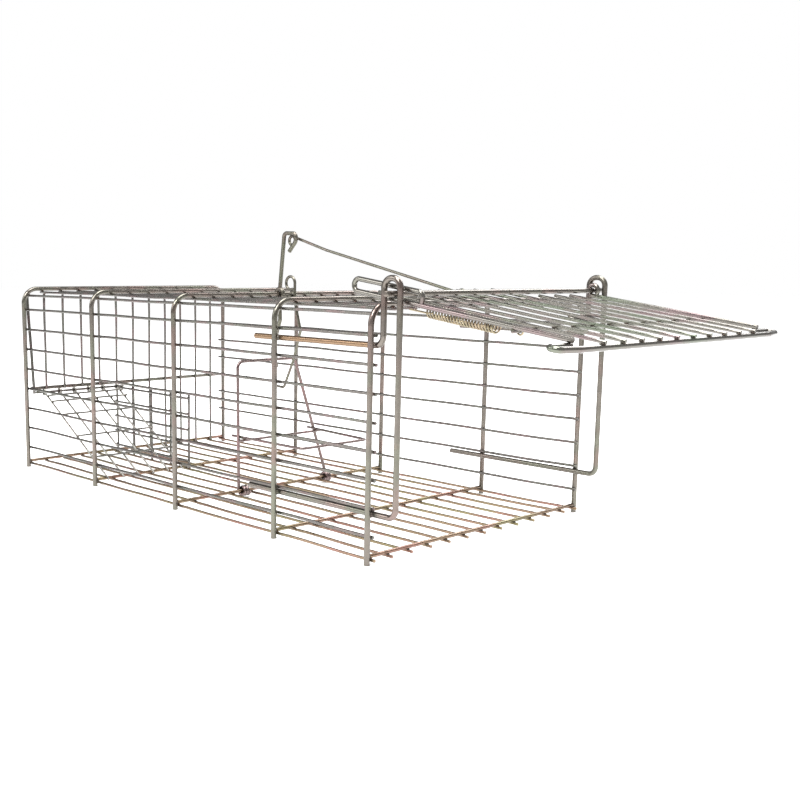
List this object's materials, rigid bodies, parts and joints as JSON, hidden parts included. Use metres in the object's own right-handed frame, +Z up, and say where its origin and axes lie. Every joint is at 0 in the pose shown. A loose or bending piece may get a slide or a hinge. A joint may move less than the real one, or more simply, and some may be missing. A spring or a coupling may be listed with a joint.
{
  "type": "live catch trap",
  "caption": "Welded wire cage trap with a sprung drop door held open by a rod and trigger lever, a tilting treadle, a bait hook and a one-way rear flap.",
  "frame": {"origin": "centre of the cut end of the rear hoop's right-hand leg, which is one of the feet the trap stands on", "axes": "+X along the cage from the rear grille to the door, +Y from the right-hand side wall to the left-hand one, +Z up"},
  "size_m": [0.539, 0.2316, 0.1958],
  "materials": {
    "frame_wire": "yellow-passivated zinc plate, satin, grey-green",
    "wall_wire": "yellow-passivated zinc plate, satin, iridescent",
    "floor_wire": "yellow-passivated zinc plate, satin, tan and pink",
    "door_wire": "yellow-passivated zinc plate, satin",
    "spring_wire": "spring wire, yellow-passivated, satin",
    "flap_wire": "thin bright zinc-plated wire",
    "trigger_wire": "yellow-passivated zinc plate, satin, grey"
  },
  "bodies": {
    "root": {"rear_hoop": "frame_wire", "second_hoop": "frame_wire", "middle_hoop": "frame_wire", "fourth_hoop": "frame_wire", "front_hoop": "frame_wire", "floor_cross_wires": "floor_wire", "floor_long_wires": "floor_wire", "right_wall_wires": "wall_wire", "left_wall_wires": "wall_wire", "roof_wires": "wall_wire", "rear_grille_wires": "wall_wire", "rear_cross_bar": "frame_wire", "rear_grille_edge": "wall_wire", "entrance_side_wires": "wall_wire", "entrance_side_posts": "wall_wire", "flap_hinge_rod": "wall_wire", "right_guide_frame": "frame_wire", "left_guide_frame": "frame_wire", "bait_hook_rail": "trigger_wire"},
    "flap": {"flap_long_wires": "flap_wire", "flap_cross_wires": "flap_wire"},
    "door_axle": {"door_axle": "frame_wire"},
    "door": {"door_right_stile": "door_wire", "door_left_stile": "door_wire", "door_long_wires": "door_wire", "door_cross_wire": "door_wire", "door_tail_bar": "door_wire", "door_front_bar": "door_wire", "door_staple": "door_wire", "door_spring": "spring_wire"},
    "set_rod": {"set_rod": "trigger_wire"},
    "trigger_lever": {"trigger_lever": "trigger_wire"},
    "trip_frame": {"trip_frame": "wall_wire", "treadle_edge_wire": "wall_wire", "treadle_cross_wire": "wall_wire"},
    "bait_hook": {"bait_hook": "trigger_wire"}
  },
  "joints": [
    {"name": "axle_drop", "type": "slide", "parent": "root", "child": "door_axle", "axis": [0, 0, -1], "range_m": [0, 0.0175]},
    {"name": "door_hinge", "type": "hinge", "parent": "door_axle", "child": "door", "pos_m": [0.41225, 0.105, 0.156], "axis": [0, 1, 0], "range_deg": [0, 82]},
    {"name": "rod_pivot", "type": "hinge", "parent": "door", "child": "set_rod", "pos_m": [0.38221, 0.1004, 0.15412], "axis": [0, 1, 0], "range_deg": [-93, 0]},
    {"name": "lever_pivot", "type": "hinge", "parent": "root", "child": "trigger_lever", "pos_m": [0.212, 0.097, 0.15], "axis": [0, 1, 0], "range_deg": [0, 40]},
    {"name": "trip_tilt", "type": "hinge", "parent": "root", "child": "trip_frame", "pos_m": [0.212, 0.105, 0.0052], "axis": [0, 1, 0], "range_deg": [0, 12]},
    {"name": "bait_swing", "type": "hinge", "parent": "root", "child": "bait_hook", "pos_m": [0.232, 0.092, 0.1492], "axis": [0, 1, 0], "range_deg": [-8, 0]},
    {"name": "flap_lift", "type": "hinge", "parent": "root", "child": "flap", "pos_m": [0.014, 0.0445, 0.06446], "axis": [0, 1, 0], "range_deg": [-45, 0]}
  ],
  "couplings": [
    {"joint": "axle_drop", "follows": "door_hinge", "m_per_rad": 0.01203},
    {"joint": "rod_pivot", "follows": "door_hinge", "ratio": -1.1146},
    {"joint": "lever_pivot", "follows": "door_hinge", "ratio": 0.4241}
  ]
}
